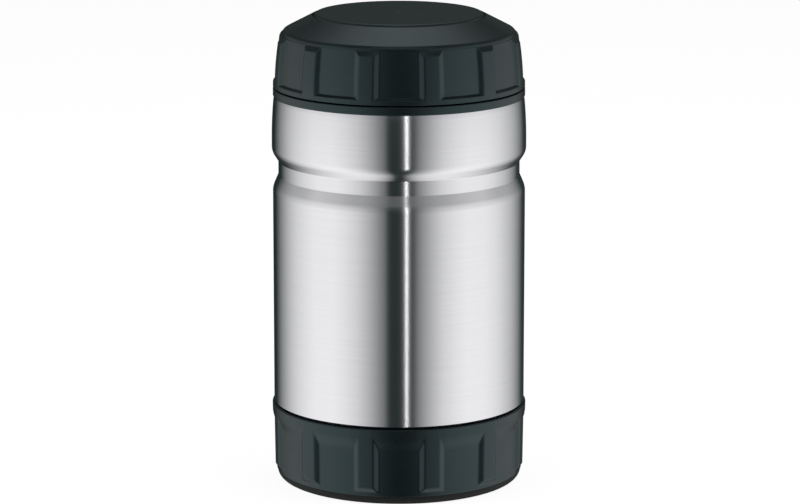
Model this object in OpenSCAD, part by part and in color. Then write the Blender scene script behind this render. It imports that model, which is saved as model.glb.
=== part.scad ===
// Insulated food jar: double-walled steel jar, screw stopper with a pressure release valve, screw lid.
// Millimetres. Z is up, the origin is the middle of the ring that the jar stands on.

/* [Jar] */
// Outer diameter of the steel body
body_d = 100; // [85:1:125]
// Height of the closed jar
total_h = 187.4; // [150:0.1:240]

/* [Steel walls] */
// Thickness of the outer steel wall
outer_wall = 0.6; // [0.4:0.1:0.8]
// Thickness of the inner steel wall
inner_wall = 0.5; // [0.4:0.1:0.8]
// Narrowest vacuum space, behind the waist groove
vacuum_gap = 2.5; // [2:0.1:4]
// Space between the outer and inner bottoms
bottom_gap = 4.3; // [3.5:0.1:8]
// Radius between the side and the floor of the inner wall
floor_round = 7.5; // [4:0.5:12]

/* [Waist groove] */
// Depth of the groove
waist_depth = 2.2; // [1.5:0.1:3]
// Height of the groove's flat floor
waist_floor_h = 5.8; // [3:0.1:10]
// Height of the flank under the floor
waist_low_flank = 6.6; // [3:0.1:8]
// Height of the flank over the floor
waist_high_flank = 5.4; // [3:0.1:8]
// Height of the soft bend at the outer end of each flank
waist_bend = 3; // [1:0.1:3]
// From the top of the steel down to the middle of the groove
waist_drop = 28.5; // [24:0.1:36]
// How far the wall above the groove bulges past the body
bulge = 0.36; // [0:0.02:0.6]
// How far that wall draws in again towards the collar
top_draw = 0.85; // [0:0.05:1.2]

/* [Base shell] */
// Height of the base shell's top rim
base_h = 30.9; // [24:0.1:40]
// Height of the plain band under that rim
base_band_h = 6; // [4:0.5:10]
// How far the band stands proud of the steel
base_proud = 0.75; // [0.3:0.05:1.5]
// How far the steel steps in behind the base shell
base_step = 2.8; // [2.4:0.1:3.6]
// Running-in of the base wall from band to foot
base_draft = 0.3; // [0:0.05:1]
// Thickness of the base shell's floor
base_floor = 1.5; // [1:0.1:2.5]

/* [Foot ring] */
// Height of the foot ring
foot_h = 3.5; // [2.5:0.1:6]
// How far the foot ring's side lies inside the steel body
foot_inset = 1.2; // [1:0.1:3]
// Width of the foot ring
foot_w = 7.4; // [5:0.1:10]

/* [Ribs] */
// Number of raised bars round the lid and round the base
rib_count = 12; // [8:1:16]
// Width of a bar, in degrees
rib_angle = 9.4; // [6:0.2:12]
// Height of a bar over the panels
rib_raise = 1.3; // [0.4:0.05:1.4]
// Height of the sloping ends of the bars
rib_bevel = 2; // [0.8:0.1:2]

/* [Collar] */
// Height of the collar's visible band
collar_h = 3.5; // [2.6:0.1:5]
// Height of the threaded sleeve over the band
sleeve_h = 9.8; // [9.8:0.1:14]
// Thickness of the threaded sleeve
sleeve_wall = 1.6; // [1.2:0.1:2]
// How far the steel lip stands over the sleeve
lip_over = 0.8; // [0.4:0.1:2]

/* [Lid] */
// Height of the lid
lid_h = 28.9; // [27.5:0.1:40]
// Parting gap between collar and lid
lid_gap = 0.5; // [0.3:0.1:1]
// How far the lid's rim lies inside the steel body
lid_inset = 0.2; // [0:0.1:1]
// Thickness of the lid's wall behind its panels
lid_wall = 1.55; // [1.4:0.05:2.2]
// How far the lid's side draws in towards the top
lid_taper = 1.55; // [1:0.05:2.2]
// Height of the plain bead at the lid's rim
bead_h = 3; // [2:0.1:5]
// Height of the dome over the lid's side
dome_h = 8.3; // [7.4:0.1:9]
// Width of the ledge round the dome
dome_ledge = 0.2; // [0.2:0.05:1]
// Diameter of the plate let into the top
disc_d = 68.2; // [40:0.1:69]
// Thickness of that plate
disc_t = 1.8; // [1.2:0.1:2]
// How far the plate stands over the dome
disc_proud = 0.8; // [0.4:0.1:1]
// Thickness of the bowl inside the lid
liner_wall = 1.3; // [1:0.1:1.6]
// From the closed lid's top down to the ceiling of the bowl
liner_drop = 9; // [8.8:0.1:12]

/* [Threads] */
// Starts of each thread
thread_starts = 4; // [3:1:4]
// Distance between neighbouring threads
thread_pitch = 4; // [4:0.1:5]
// Overlap of the two threads
thread_overlap = 0.6; // [0.4:0.1:0.8]
// Room over each thread's crest
thread_play = 0.5; // [0.4:0.05:0.6]
// Width of a thread at its crest
thread_crest_w = 1; // [0.8:0.1:1.2]
// Width of a thread at its root
thread_root_w = 1.6; // [1.4:0.1:1.8]
// Room between the flanks of the two threads
flank_gap = 0.35; // [0.3:0.05:0.45]

/* [Stopper] */
// How far the plug reaches down from the lip
plug_depth = 25.6; // [22:0.1:36]
// Thickness of the plug's wall
plug_wall = 1.8; // [1.4:0.1:2.4]
// Thickness of the plug's floor
plug_floor = 1.8; // [1.4:0.1:2.4]
// Thickness of the stopper's flange
flange_t = 1.6; // [1.2:0.1:2]
// Thickness of the gasket
gasket_t = 1; // [0.8:0.1:1.2]
// Height of the stopper's grip over its flange
grip_h = 2.1; // [1.8:0.1:2.2]
// Width of the grip bar
grip_bar_w = 18; // [17:0.5:24]
// Depth of the finger recesses beside the bar
recess_depth = 9; // [6:0.1:10]
// Thickness of the walls of the recesses
recess_wall = 1.4; // [1:0.1:1.8]

/* [Valve] */
// Diameter of the push button
button_d = 12; // [10:0.1:12.4]
// Height of the push button
button_h = 4.9; // [4:0.1:5]
// Travel of the push button
valve_travel = 2.5; // [1.5:0.1:2.5]
// Diameter of the rod
stem_d = 3; // [2:0.1:3.4]
// Diameter of the sealing disc
seal_d = 12; // [11:0.1:16]
// Thickness of the sealing disc
seal_t = 1.9; // [1.2:0.1:2.5]
// Diameter of the spring's wire
wire_d = 0.7; // [0.5:0.05:0.8]
// Turns of the spring
spring_turns = 4; // [3:0.5:4]

/* [Clearances] */
// Between soft or curved faces that move past each other
clear = 0.3; // [0.25:0.05:0.4]
// Between pieces that are fitted together
fit = 0.1; // [0.05:0.01:0.15]
// Between the valve's rod and its guides
stem_fit = 0.06; // [0.03:0.01:0.09]

/* [Hidden] */
$fn = 96;

plastic = "#3b4144";
steel = "#c6c9cb";
silicone = "#d8dadb";
foam = "#e6e2d6";
far = 200;         // beyond everything, for cuts
eps = 0.02;        // overlap of solids that are joined into one piece
panel_cut = 0.03;  // how much deeper a panel is cut than the plain wall beyond it
bury = 0.3;        // depth of a thread's root inside its wall
bar_inset = 0.05;  // how far the bars lie inside the plain bands
slip = 0.05;       // between a soft or loose ring and the piece that it sits on
chamfer = 0.3;     // small broken edges of the plastic pieces
over = 0.1;        // how far a cut runs past the piece
thread_back = 0.1; // how much thicker the lid's wall is where it carries the thread
band_edge = 0.1;   // height of the edge between the base's bars and its plain band
band_slope = 1.7;  // half the height of the slope from the base's panels to its plain band
arc_steps = 8;     // straight pieces in a rounded outline
thread_step = 7.5; // degrees between two sections of a thread

// Radii, from the outside in
body_r = body_d / 2;
waist_r = body_r - waist_depth;
base_step_r = body_r - base_step;
vessel_r = waist_r - outer_wall - vacuum_gap;
foot_r = body_r - foot_inset;
base_r = body_r + base_proud;
bar_base_r = base_r - bar_inset;
lid_r = body_r - lid_inset;
bar_lid_r = lid_r - bar_inset;
lid_in_r = bar_lid_r - rib_raise - lid_wall - thread_back;
collar_crest_r = lid_in_r - thread_play;
lid_crest_r = collar_crest_r - thread_overlap;
sleeve_r = lid_crest_r - thread_play;
collar_bore_r = sleeve_r - sleeve_wall;
neck_out_r = collar_bore_r - fit;
neck_gap = 0.4;    // between the two walls in the neck
neck_r = neck_out_r - outer_wall - neck_gap;
mouth_r = neck_r - inner_wall;
plug_crest_r = mouth_r - thread_play;
neck_crest_r = plug_crest_r - thread_overlap;
plug_r = neck_crest_r - thread_play;
flange_r = neck_out_r - 0.4;
cap_r = flange_r - 0.3;

// Heights, from the bottom up
bottom_t = 0.8;        // thickness of the outer bottom
seal_plug_t = 0.35;    // thickness of the vacuum seal
shoulder_round = 0.9;  // radius of the steel's upper edge
step_rise = 0.8;       // height over which the steel steps out over the base shell
neck_flare = 5;        // height over which the inner wall draws in to the neck
plug_run = 4;          // from the plug's lower end down to that flare
base_floor_z = foot_h + base_floor;
outer_bottom_z = base_floor_z + seal_plug_t + slip;
shell_z = outer_bottom_z + bottom_t;
vessel_z = shell_z + bottom_gap;
floor_z = vessel_z + inner_wall;
step_z = base_h + clear;
lid_z = total_h - lid_h;
collar_top_z = lid_z - lid_gap;
steel_top_z = collar_top_z - collar_h;
shoulder_z = steel_top_z + shoulder_round;
sleeve_top_z = collar_top_z + sleeve_h;
lip_z = sleeve_top_z + lip_over;
neck_top_z = lip_z - inner_wall;
waist_z = steel_top_z - waist_drop;
waist_low_z = waist_z - waist_floor_h / 2;
waist_high_z = waist_z + waist_floor_h / 2;
neck_low_z = lip_z - plug_depth - plug_run;
gasket_z = lip_z + fit;
flange_z = gasket_z + gasket_t;
grip_z = flange_z + flange_t;
cap_top_z = grip_z + grip_h;
plug_z = lip_z - plug_depth;
plug_top_z = plug_z + plug_floor;
recess_z = cap_top_z - recess_depth;
ceiling_z = total_h - liner_drop;
liner_top_z = ceiling_z + liner_wall;
dome_z = total_h - dome_h;
cone_z = total_h - disc_proud;
disc_z = total_h - disc_t;
disc_r = disc_d / 2;
seat_r = disc_r + 0.2;
groove_r = disc_r + 0.5;
under_disc_z = disc_z - lid_wall + 0.2;
liner_ledge_z = lip_z + 1.7;  // ledge that the bowl is welded to
liner_flange_t = 1.3;

// The steel's shoulder under the collar, and the soft ring between them
steel_top_r = body_r + bulge - top_draw;
neck_bend = 1.2;   // height over which the shoulder turns up into the neck
collar_under_z = shoulder_z + fit;
seal_groove = 0.8; // depth of the collar's groove
collar_seal_in_r = neck_out_r + 2.4;
collar_seal_out_r = neck_out_r + 4.2;

// The valve
button_r = button_d / 2;
stem_r = stem_d / 2;
seal_r = seal_d / 2;
button_z = cap_top_z - button_h;
spring_spare = 0.8; // length that the spring keeps when it is pressed
spring_z = button_z - valve_travel - spring_turns * wire_d - spring_spare;
boss_r = button_r + clear + recess_wall;
boss_floor = 2;
boss_z = spring_z - boss_floor;
chimney_r = seal_r - 1;
chimney_wall = 1.3;
valve_seal_z = plug_z - fit - seal_t;
stem_head_t = 0.6;
stem_head_w = 1.5;
coil_inset = 2;    // from the button's edge to the spring's middle line
stem_z = valve_seal_z - stem_head_t;

// Threads
lead = thread_starts * thread_pitch;
long_span = 120; // degrees, on the collar and in the neck
lug_span = 60;   // degrees, on the lid and on the plug
lug_lag = 30;    // degrees from the start of a long thread to the start of its lug
lug_drop = thread_crest_w + (thread_root_w - thread_crest_w) / 2 + flank_gap;
collar_thread_z = collar_top_z + 2.4;
lid_lug_z = collar_thread_z + lead * lug_lag / 360 - lug_drop;
neck_thread_z = lip_z - 16.6;
plug_lug_z = neck_thread_z + lead * lug_lag / 360 - lug_drop;

// Points on an arc round (x, y), from angle a to angle b
function arc(x, y, r, a, b) =
    [for (i = [0 : arc_steps]) let (t = a + (b - a) * i / arc_steps) [x + r * cos(t), y + r * sin(t)]];

// A soft S from one point of an outline to another
function soft(p, q) =
    [for (i = [0 : arc_steps]) let (t = i / arc_steps)
        [p.x + (q.x - p.x) * (1 - cos(180 * t)) / 2, p.y + (q.y - p.y) * t]];

// A flank of the waist groove: it leaves the wall upright, bends, and runs straight to the floor's corner
function flank(wall, corner) =
    let (slope = (wall.x - corner.x) / (abs(corner.y - wall.y) - waist_bend / 2))
    concat(
        [for (i = [0 : arc_steps]) let (u = waist_bend * i / arc_steps)
            [wall.x - slope * u * u / (2 * waist_bend), wall.y + sign(corner.y - wall.y) * u]],
        [corner]);

// Radius of the lid's bars, and without rib_raise of its panels, at a height
function lid_side(z) =
    let (t = max(0, (z - lid_z - bead_h) / (dome_z - lid_z - bead_h)))
    bar_lid_r - lid_taper * pow(t, 1.7);

// Radius of the base's bars at a height
function base_side(z) = bar_base_r - base_draft * (base_h - base_band_h - z) / (base_h - base_band_h - foot_h);

// Radius of the lid's hollow at a height, and the height of the hollow's sloping ceiling at a radius
function hollow_r(z) = lid_side(z) - rib_raise - lid_wall;
slope_low = [hollow_r(dome_z) - 1.6, dome_z + 1.1];
slope_high = [seat_r + 0.6, under_disc_z];
function slope_z(r) = slope_low.y + (slope_high.y - slope_low.y) * (slope_low.x - r) / (slope_low.x - slope_high.x);

// The hollow of the lid's shell, from under the plate down to the ledge that the bowl is welded to
function lid_inside() =
    let (middle_z = (dome_z + liner_ledge_z) / 2)
    [slope_high, slope_low,
     [hollow_r(dome_z), dome_z],
     [hollow_r(middle_z), middle_z],
     [hollow_r(liner_ledge_z), liner_ledge_z],
     [lid_in_r, liner_ledge_z]];

// Radius of the lid's panels at the ledge, and of the dome inside the ledge
side_top = lid_side(dome_z) - rib_raise;
dome_r = side_top - dome_ledge;

// Outline of the steel above the base shell, moved inwards by t
function steel_side(t) = concat(
    [[body_r - t, step_z + step_rise]],
    flank([body_r - t, waist_low_z - waist_low_flank], [waist_r - t, waist_low_z]),
    [for (i = [arc_steps + 1 : -1 : 0])
        flank([body_r + bulge - t, waist_high_z + waist_high_flank], [waist_r - t, waist_high_z])[i]],
    [for (i = [1 : arc_steps])
        let (low = waist_high_z + waist_high_flank + 3)
        [body_r + bulge - t - top_draw * pow(i / arc_steps, 2), low + (steel_top_z - low) * i / arc_steps]]);

// A solid whose sections, listed anticlockwise in the (radius, height) plane, go round the axis
module swept(sections) {
    k = len(sections[0]);
    n = len(sections);
    last = (n - 1) * k;
    faces = concat(
        [[for (j = [k - 1 : -1 : 0]) j]],
        [for (i = [0 : n - 2], j = [0 : k - 1])
            [i * k + j, i * k + (j + 1) % k, (i + 1) * k + (j + 1) % k]],
        [for (i = [0 : n - 2], j = [0 : k - 1])
            [i * k + j, (i + 1) * k + (j + 1) % k, (i + 1) * k + j]],
        [[for (j = [0 : k - 1]) last + j]]);
    polyhedron([for (s = sections) each s], faces, convexity = 8);
}

function on_axis(r, z, angle) = [r * cos(angle), r * sin(angle), z];

// One thread ridge: wall_r is the face it grows from, z the height of its middle at its start
module ridge(wall_r, crest_r, z, span) {
    out = crest_r > wall_r ? 1 : -1;
    root_r = wall_r - out * bury;
    depth = abs(crest_r - wall_r);
    root_w = thread_root_w + (thread_root_w - thread_crest_w) * bury / depth;
    n = round(span / thread_step);
    swept([for (i = [0 : n])
        let (a = i * thread_step,
            m = z + lead * a / 360,
            rise = min(1, i / 2, (n - i) / 2),
            tip = root_r + out * (bury / 2 + (depth + bury / 2) * rise),
            tip_w = root_w + (thread_crest_w - root_w) * rise)
        [on_axis(root_r, m - out * root_w / 2, a), on_axis(tip, m - out * tip_w / 2, a),
         on_axis(tip, m + out * tip_w / 2, a), on_axis(root_r, m + out * root_w / 2, a)]]);
}

module thread(wall_r, crest_r, z, span, lag) {
    for (i = [0 : thread_starts - 1])
        rotate([0, 0, lag + i * 360 / thread_starts])
            ridge(wall_r, crest_r, z, span);
}

// Cuts the wide panels between the bars; side lists the panel's outline from bottom to top
module panels(side) {
    panel_angle = 360 / rib_count - rib_angle;
    for (i = [0 : rib_count - 1])
        rotate([0, 0, i * 360 / rib_count - panel_angle / 2])
            rotate_extrude(angle = panel_angle)
                polygon(concat(side, [[side[len(side) - 1].x + 5, side[len(side) - 1].y],
                    [side[len(side) - 1].x + 5, side[0].y]]));
}

module tube(r, wall, z, h) {
    difference() {
        translate([0, 0, z]) cylinder(r = r, h = h);
        translate([0, 0, z - 1]) cylinder(r = r - wall, h = h + 2);
    }
}

module ring(inner, outer, z, h) {
    tube(outer, outer - inner, z, h);
}

module outer_shell() {
    outside = concat(
        [[base_step_r, shell_z], [base_step_r, step_z], [body_r - step_rise, step_z]],
        steel_side(0),
        arc(steel_top_r - shoulder_round, steel_top_z, shoulder_round, 20, 90),
        [[neck_out_r + neck_bend, shoulder_z], [neck_out_r, shoulder_z + neck_bend],
         [neck_out_r, neck_top_z]]);
    inside = concat(
        [[base_step_r - outer_wall, shell_z], [base_step_r - outer_wall, step_z + outer_wall],
         [body_r - step_rise - outer_wall, step_z + outer_wall]],
        steel_side(outer_wall),
        [[steel_top_r - shoulder_round, shoulder_z - outer_wall],
         [neck_out_r + neck_bend - outer_wall, shoulder_z - outer_wall],
         [neck_out_r - outer_wall, shoulder_z + neck_bend - outer_wall],
         [neck_out_r - outer_wall, neck_top_z]]);
    color(steel)
        rotate_extrude()
            polygon(concat(outside, [for (i = [len(inside) - 1 : -1 : 0]) inside[i]]));
}

module outer_bottom() {
    color(steel)
        difference() {
            translate([0, 0, outer_bottom_z]) cylinder(r = base_step_r, h = bottom_t);
            // the hole that the air was drawn out through
            translate([0, 0, outer_bottom_z - 1]) cylinder(r = 1.5, h = bottom_t + 2, $fn = 32);
        }
}

module vacuum_seal() {
    color(silicone) {
        translate([0, 0, outer_bottom_z - seal_plug_t]) cylinder(r = 4, h = seal_plug_t);
    }
}

module getter() {
    color("dimgray")
        translate([base_step_r * 0.5, 0, shell_z]) cylinder(r = 5, h = 2, $fn = 48);
}

module inner_vessel() {
    wall_z = vessel_z + floor_round + inner_wall;
    outside = concat([[vessel_r, wall_z]],
        soft([vessel_r, neck_low_z - neck_flare], [neck_r, neck_low_z]),
        [[neck_r, neck_top_z], [neck_out_r, neck_top_z], [neck_out_r, lip_z]]);
    inside = concat([[vessel_r - inner_wall, wall_z]],
        soft([vessel_r - inner_wall, neck_low_z - neck_flare], [mouth_r, neck_low_z]),
        [[mouth_r, lip_z - chamfer], [mouth_r + chamfer, lip_z]]);
    color(steel) {
        union() {
            rotate_extrude()
                polygon(concat(outside, [for (i = [len(inside) - 1 : -1 : 0]) inside[i]]));
            thread(mouth_r, neck_crest_r, neck_thread_z, long_span, 0);
        }
    }
}

module inner_bottom() {
    r = vessel_r;
    round_r = floor_round + inner_wall;
    color(steel)
        rotate_extrude()
            polygon(concat([[0, vessel_z]],
                arc(r - round_r, vessel_z + round_r, round_r, -90, 0),
                arc(r - round_r, vessel_z + round_r, floor_round, 0, -90),
                [[0, floor_z]]));
}

module reflector_foil() {
    foil_t = 0.2;
    bare = 3; // strip that the foil leaves bare at each end
    low_z = vessel_z + floor_round + inner_wall + bare;
    color("#d7cfc6")
        tube(vessel_r + slip + foil_t, foil_t, low_z, neck_low_z - neck_flare - bare - low_z);
}

module collar() {
    outline = concat(
        [[collar_bore_r, collar_under_z + neck_bend], [collar_bore_r + neck_bend, collar_under_z]],
        arc(steel_top_r - shoulder_round, steel_top_z, shoulder_round + fit, 90, 15),
        [[lid_r, steel_top_z + 1.5],
         [lid_r, collar_top_z - chamfer],
         [lid_r - chamfer, collar_top_z],
         [sleeve_r + 0.6, collar_top_z],
         [sleeve_r, collar_top_z + 0.6],
         [sleeve_r, sleeve_top_z - 0.5],
         [sleeve_r - 0.5, sleeve_top_z],
         [collar_bore_r, sleeve_top_z]]);
    color(plastic)
        union() {
            difference() {
                rotate_extrude() polygon(outline);
                ring(collar_seal_in_r, collar_seal_out_r, collar_under_z - 1, 1 + seal_groove);
            }
            thread(sleeve_r, collar_crest_r, collar_thread_z, long_span, 0);
        }
}

module collar_seal() {
    color(silicone)
        ring(collar_seal_in_r + slip, collar_seal_out_r - slip, shoulder_z, fit + seal_groove);
}

module base_shell() {
    low_r = base_side(foot_h) - rib_raise;
    bar_z = foot_h + 2; // lower end of the bars
    band_z = base_h - base_band_h;
    outline = [
        [0, foot_h],
        [low_r - chamfer, foot_h],
        [low_r, foot_h + chamfer],
        [low_r, bar_z],
        [base_side(bar_z), bar_z + rib_bevel / 2],
        [base_side(band_z), band_z],
        [base_r, band_z + band_edge],
        [base_r, base_h - 0.4],
        [base_r - 0.4, base_h],
        [base_step_r + fit, base_h],
        [base_step_r + fit, base_floor_z],
        [0, base_floor_z]];
    color(plastic)
        difference() {
            rotate_extrude() polygon(outline);
            panels([[low_r - panel_cut, bar_z - 0.5],
                [base_side(band_z) - rib_raise - panel_cut, band_z - band_slope],
                [base_r + over, band_z + band_slope]]);
        }
}

module foot_ring() {
    edge = 3.3;
    color("#1f2325")
        rotate_extrude()
            polygon(concat([[foot_r - foot_w, foot_h], [foot_r - foot_w, 0.4], [foot_r - foot_w + 0.4, 0]],
                arc(foot_r - edge, edge, edge, -90, 0),
                [[foot_r, foot_h]]));
}

module lid_shell() {
    dome_round = 2.6;
    dome_sink = 0.4; // from the ledge down to the middle of the dome's rounded edge
    outline = concat(
        [[lid_in_r, lid_z], [lid_r - chamfer, lid_z], [lid_r, lid_z + chamfer], [lid_r, lid_z + bead_h - 1]],
        [for (i = [0 : arc_steps]) let (z = lid_z + bead_h + (dome_z - rib_bevel - lid_z - bead_h) * i / arc_steps)
            [lid_side(z), z]],
        [[side_top, dome_z]],
        arc(dome_r - dome_round, dome_z - dome_sink, dome_round, asin(dome_sink / dome_round), 62),
        [[groove_r, cone_z], [seat_r, cone_z - 0.5], [seat_r, disc_z], [0, disc_z], [0, under_disc_z]],
        lid_inside());
    color(plastic)
        union() {
            difference() {
                rotate_extrude() polygon(outline);
                panels(concat([[lid_r + over, lid_z + bead_h - 1]],
                    [for (i = [0 : arc_steps])
                        let (low = lid_z + bead_h + 1.2, z = low + (dome_z - low) * i / arc_steps)
                        [lid_side(z) - rib_raise - panel_cut, z]],
                    [[side_top - panel_cut, dome_z + dome_ledge / 2]]));
            }
            thread(lid_in_r, lid_crest_r, lid_lug_z, lug_span, lug_lag);
        }
}

module lid_disc() {
    edge = 0.5;
    color(plastic)
        rotate_extrude()
            polygon(concat([[0, disc_z], [disc_r, disc_z]],
                arc(disc_r - edge, total_h - edge, edge, 0, 90),
                [[0, total_h]]));
}

module lid_liner() {
    corner = 4.5;
    gap = 0.4; // between the bowl and the shell round it
    low_r = hollow_r(liner_ledge_z) - gap;
    top_r = hollow_r(dome_z) - gap;
    rim_r = lid_in_r - gap / 2;
    rim_z = liner_ledge_z - liner_flange_t;
    corner_z = liner_top_z - corner;
    color("#8d9396")
        rotate_extrude()
            polygon(concat(
                [[low_r - liner_wall, rim_z], [rim_r, rim_z], [rim_r, liner_ledge_z],
                 [low_r, liner_ledge_z]],
                arc(top_r - corner, corner_z, corner, 0, 90),
                [[0, liner_top_z], [0, ceiling_z]],
                arc(top_r - corner, corner_z, corner - liner_wall, 90, 0)));
}

module lid_foam() {
    rim_r = hollow_r(dome_z) - 4.8;
    crown_r = seat_r - 1;
    spare = 0.1; // added to the room over the disc, where the ceiling slopes
    room = clear + spare;
    color(foam)
        rotate_extrude()
            polygon([[0, liner_top_z + clear], [rim_r, liner_top_z + clear],
                [rim_r, slope_z(rim_r) - room], [crown_r, under_disc_z - room], [0, under_disc_z - room]]);
}

module stopper_body() {
    color("#4a5053")
        union() {
            difference() {
                union() {
                    translate([0, 0, plug_z]) cylinder(r = plug_r, h = grip_z - plug_z);
                    translate([0, 0, flange_z]) cylinder(r = flange_r, h = flange_t);
                }
                translate([0, 0, plug_top_z]) cylinder(r = plug_r - plug_wall, h = far);
                translate([0, 0, plug_z - 1]) cylinder(r = stem_r + stem_fit, h = plug_floor + 2, $fn = 48);
                // air holes under the valve's disc
                for (i = [0 : 3])
                    rotate([0, 0, 45 + i * 90])
                        translate([(stem_r + chimney_r) / 2, 0, plug_z - 1])
                            cylinder(r = 0.9, h = plug_floor + 2, $fn = 24);
            }
            // tube round the valve's rod
            tube(chimney_r + chimney_wall, chimney_wall, plug_top_z - eps, boss_z - plug_top_z + eps);
            thread(plug_r, plug_crest_r, plug_lug_z, lug_span, lug_lag);
        }
}

module stopper_cap() {
    well_r = plug_r - plug_wall - 3.2;
    finger_r = well_r - recess_wall;
    hollow_w = grip_bar_w - 2 * recess_wall;
    edge = 0.5;
    color("#4a5053")
        difference() {
            union() {
                translate([0, 0, grip_z]) cylinder(r = cap_r, h = grip_h - edge);
                translate([0, 0, cap_top_z - edge]) cylinder(r1 = cap_r, r2 = cap_r - edge, h = edge);
                translate([0, 0, recess_z - recess_wall])
                    cylinder(r = well_r, h = grip_z - recess_z + recess_wall + eps);
                translate([0, 0, boss_z]) cylinder(r = boss_r, h = cap_top_z - boss_z);
            }
            // finger recesses on both sides of the bar
            difference() {
                translate([0, 0, recess_z]) cylinder(r = finger_r, h = far);
                translate([-far / 2, -grip_bar_w / 2, 0]) cube([far, grip_bar_w, far]);
                translate([0, 0, recess_z - 1]) cylinder(r = boss_r, h = far);
            }
            // hollow under the bar
            difference() {
                intersection() {
                    cylinder(r = finger_r, h = cap_top_z - recess_wall);
                    translate([-far / 2, -hollow_w / 2, recess_z - recess_wall - 1])
                        cube([far, hollow_w, cap_top_z - recess_z]);
                }
                cylinder(r = boss_r, h = far);
            }
            // well of the button, and guide of the rod
            translate([0, 0, spring_z]) cylinder(r = button_r + clear, h = far);
            translate([0, 0, boss_z - 1]) cylinder(r = stem_r + stem_fit, h = far, $fn = 48);
            grip_notches();
        }
}

// Finger notches round the stopper's rim
module grip_notches() {
    notches = 24;
    for (i = [0 : notches - 1])
        rotate([0, 0, (i + 0.5) * 360 / notches])
            translate([cap_r + 1.3, 0, grip_z - 1]) cylinder(r = 2, h = grip_h + 2, $fn = 32);
}

module stopper_gasket() {
    color(silicone)
        ring(plug_r + slip, neck_out_r - 0.3, gasket_z, gasket_t);
}

module stopper_foam() {
    hole_r = max(boss_r, chimney_r + chimney_wall) + clear;
    color(foam)
        ring(hole_r, plug_r - plug_wall - clear, plug_top_z + clear,
            recess_z - recess_wall - plug_top_z - 2 * clear);
}

module valve_button() {
    edge = 0.8;
    dish_r = 20;
    dish = 0.8; // depth of the dish for the fingertip
    color("#b8402f")
        difference() {
            rotate_extrude()
                polygon(concat([[0, button_z], [button_r, button_z]],
                    arc(button_r - edge, cap_top_z - edge, edge, 0, 90),
                    [[0, cap_top_z]]));
            translate([0, 0, cap_top_z + dish_r - dish]) sphere(r = dish_r);
        }
}

module valve_stem() {
    color(steel)
        union() {
            translate([0, 0, stem_z]) cylinder(r = stem_r, h = button_z - stem_z, $fn = 48);
            translate([0, 0, stem_z]) cylinder(r = stem_r + stem_head_w, h = stem_head_t, $fn = 48);
        }
}

module valve_seal() {
    color(silicone)
        ring(stem_r + slip, seal_r, valve_seal_z, seal_t);
}

module valve_spring() {
    coil_r = button_r - coil_inset;
    steps = 16;
    sides = 8;
    h = button_z - spring_z - wire_d - 2 * slip;
    n = spring_turns * steps;
    color(steel)
        swept([for (i = [0 : n])
            [for (j = [0 : sides - 1])
                on_axis(coil_r + wire_d / 2 * cos(j * 360 / sides),
                    spring_z + slip + wire_d / 2 + h * i / n + wire_d / 2 * sin(j * 360 / sides),
                    i * 360 / steps)]]);
}

outer_shell();
outer_bottom();
inner_vessel();
inner_bottom();
reflector_foil();
getter();
vacuum_seal();
collar();
collar_seal();
base_shell();
foot_ring();
lid_shell();
lid_disc();
lid_liner();
lid_foam();
stopper_body();
stopper_cap();
stopper_gasket();
stopper_foam();
valve_button();
valve_stem();
valve_seal();
valve_spring();
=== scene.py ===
"""Insulated food jar: the looks of every piece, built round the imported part.

Sizes are millimetres, with Z up and the origin in the middle of the ring that the jar stands on,
and they turn to metres where a mesh is made. Angles round the axis are degrees, from +X towards +Y.
"""

from __future__ import annotations

import logging
import math
from collections.abc import Callable, Sequence
from dataclasses import dataclass, field
from enum import Enum

import bmesh
import bpy
import numpy as np
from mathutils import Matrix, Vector

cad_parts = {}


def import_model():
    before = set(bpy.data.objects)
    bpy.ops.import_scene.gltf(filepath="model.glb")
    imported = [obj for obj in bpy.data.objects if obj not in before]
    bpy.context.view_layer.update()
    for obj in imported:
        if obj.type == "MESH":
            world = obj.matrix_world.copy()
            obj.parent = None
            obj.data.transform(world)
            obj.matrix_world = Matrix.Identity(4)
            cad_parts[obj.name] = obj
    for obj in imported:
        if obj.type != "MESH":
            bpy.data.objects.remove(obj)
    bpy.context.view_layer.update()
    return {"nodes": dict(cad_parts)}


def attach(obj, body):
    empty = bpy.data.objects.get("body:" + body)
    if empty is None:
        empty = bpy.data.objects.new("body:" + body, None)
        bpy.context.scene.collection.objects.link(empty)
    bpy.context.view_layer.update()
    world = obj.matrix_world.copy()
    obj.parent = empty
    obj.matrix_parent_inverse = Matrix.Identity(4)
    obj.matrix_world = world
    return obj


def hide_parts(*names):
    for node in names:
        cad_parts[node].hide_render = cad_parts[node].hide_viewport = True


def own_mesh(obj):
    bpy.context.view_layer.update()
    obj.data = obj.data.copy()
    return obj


MM = 0.001
HAIR = 0.01  # keeps a face off the one that it meets
SINK = 0.05  # keeps the bars just inside the rims over and under them
LOG = logging.getLogger("food_jar")

Point = tuple[float, float]
Points = tuple[Point, ...]
Triple = tuple[float, float, float]
Outline = list[Point]
Lift = Callable[[np.ndarray, np.ndarray], np.ndarray]
Colour = tuple[float, float, float, float]
Piece = bpy.types.Object
Nodes = dict[str, Piece]
Tree = bpy.types.NodeTree
Node = bpy.types.Node
Socket = bpy.types.NodeSocket
Value = Socket | float | Sequence[float]


class Body(Enum):
    """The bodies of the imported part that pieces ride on."""

    JAR = "jar"
    STOPPER = "stopper"
    LID = "lid"
    VALVE = "valve"


class Slot(Enum):
    """The record's material slots."""

    BRUSHED_STEEL = "brushed_steel"
    PLAIN_STEEL = "plain_steel"
    DARK_PLASTIC = "dark_plastic"
    STOPPER_PLASTIC = "stopper_plastic"
    LINER_PLASTIC = "liner_plastic"
    BUTTON_PLASTIC = "button_plastic"
    FOOT_RUBBER = "foot_rubber"
    SILICONE = "silicone"
    SPRING_STEEL = "spring_steel"


class Ends(Enum):
    """How the last row of a grid meets the first."""

    AROUND = "the last row joins the first"
    CAPPED = "both end rows are closed with a face"


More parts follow.
